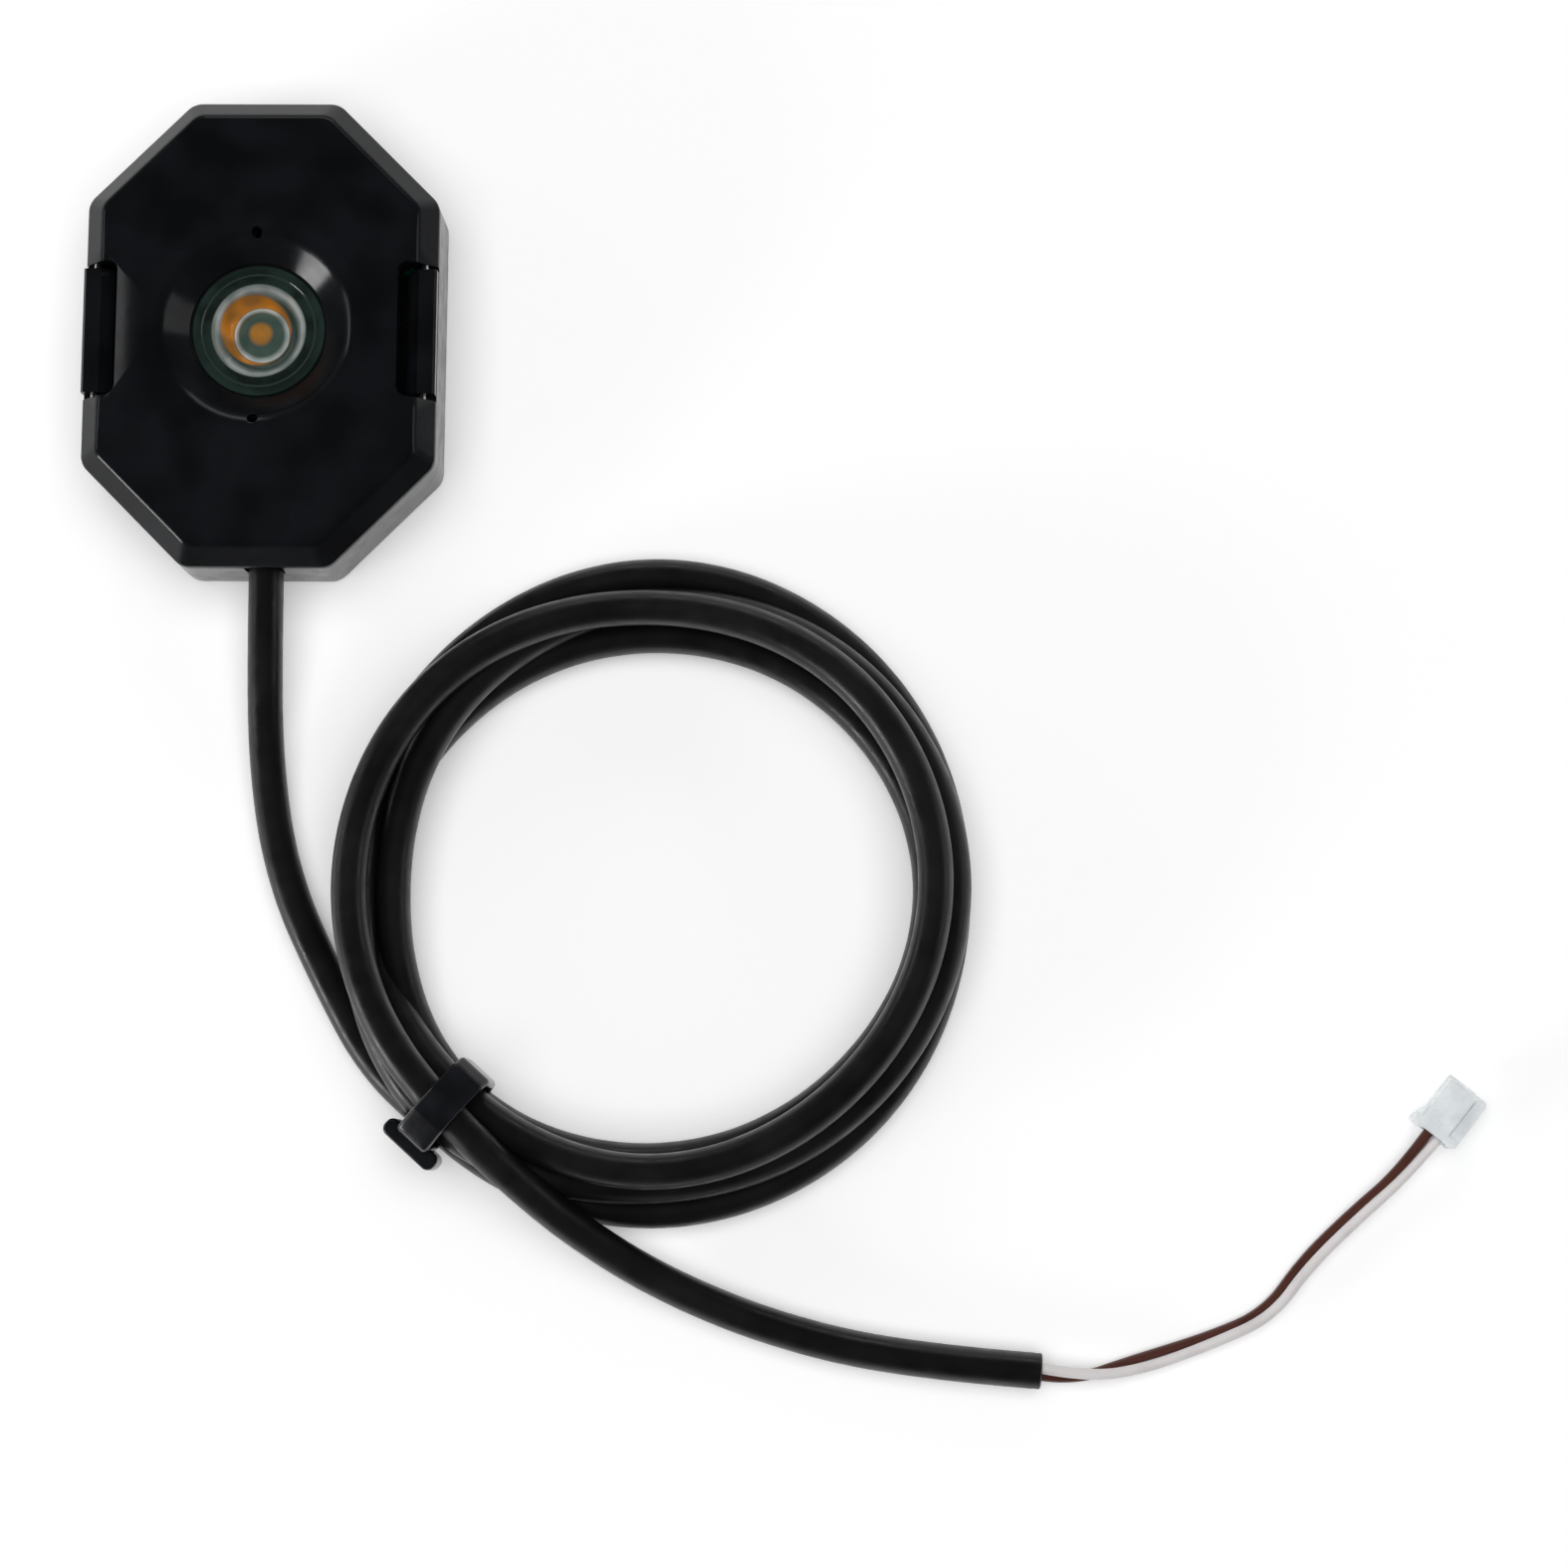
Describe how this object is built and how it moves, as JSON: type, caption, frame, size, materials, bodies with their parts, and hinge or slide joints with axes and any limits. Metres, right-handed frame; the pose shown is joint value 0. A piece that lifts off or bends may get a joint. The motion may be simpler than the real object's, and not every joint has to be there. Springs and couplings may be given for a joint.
{
  "type": "lidar module optical head",
  "caption": "Fixed optical head with a recessed clear collimator lens in an elongated octagonal gloss-black snap-shell case, on a coiled two-core lead.",
  "frame": {"origin": "centre of the bottom of the head's rear face, which is the surface that the head, coil and lead lie on", "axes": "+Z from the rear face out through the lens, +Y along the head away from the cable entry, +X to the right seen from the front"},
  "size_m": [0.1585, 0.1441, 0.0143],
  "materials": {
    "case_shell": "glossy moulded, black",
    "cover_shell": "glossy moulded, black",
    "latch_plastic": "glossy moulded, black",
    "pin_steel": "ground pin",
    "seal_rubber": "matte moulded",
    "lens_acrylic": "polished clear acrylic",
    "holder_plastic": "matte moulded",
    "package_ceramic": "fired white",
    "phosphor": "amber phosphor in silicone",
    "dome_silicone": "clear silicone",
    "board_laminate": "green solder mask",
    "spreader_aluminium": "rolled sheet",
    "pad_silicone": "soft grey",
    "ferrite": "pressed ferrite",
    "chip_epoxy": "moulded epoxy",
    "capacitor_ceramic": "fired tan",
    "solder": "reflowed tin",
    "screw_steel": "zinc plated",
    "insert_brass": "turned and knurled",
    "jacket_pvc": "satin extruded PVC, black",
    "core_white_pvc": "satin extruded PVC, white",
    "core_brown_pvc": "satin extruded PVC, brown",
    "tie_nylon": "satin moulded nylon, black",
    "connector_nylon": "natural translucent nylon",
    "terminal_tin": "tin plated"
  },
  "bodies": {
    "housing": {"board_screws": "screw_steel", "cable_clamp": "holder_plastic", "cable_coil": "jacket_pvc", "cable_grommet": "seal_rubber", "cable_lead": "jacket_pvc", "cable_tail": "jacket_pvc", "cable_tie": "tie_nylon", "capacitors": "capacitor_ceramic", "case_seal": "seal_rubber", "circuit_board": "board_laminate", "clamp_screws": "screw_steel", "collimator_lens": "lens_acrylic", "connector_housing": "connector_nylon", "connector_terminals": "terminal_tin", "core_brown": "core_brown_pvc", "core_white": "core_white_pvc", "driver_chip": "chip_epoxy", "emitter_dome": "dome_silicone", "emitter_package": "package_ceramic", "emitter_phosphor": "phosphor", "front_cover": "cover_shell", "heat_spreader": "spreader_aluminium", "inductor": "ferrite", "inner_lead_brown": "core_brown_pvc", "inner_lead_white": "core_white_pvc", "latch_pin_left": "pin_steel", "latch_pin_right": "pin_steel", "lens_holder": "holder_plastic", "lens_seal": "seal_rubber", "mount_inserts": "insert_brass", "rear_case": "case_shell", "resistors": "chip_epoxy", "solder_joints": "solder", "thermal_pad": "pad_silicone"},
    "latch_left": {"latch_left": "latch_plastic"},
    "latch_right": {"latch_right": "latch_plastic"}
  },
  "joints": [
    {"name": "latch_left_hinge", "type": "hinge", "parent": "housing", "child": "latch_left", "pos_m": [-0.0185, 0, 0.0102], "axis": [0, -1, 0], "range_deg": [0, 12], "stiffness_Nm_per_rad": 0.02},
    {"name": "latch_right_hinge", "type": "hinge", "parent": "housing", "child": "latch_right", "pos_m": [0.0185, 0, 0.0102], "axis": [0, 1, 0], "range_deg": [0, 12], "stiffness_Nm_per_rad": 0.02}
  ]
}
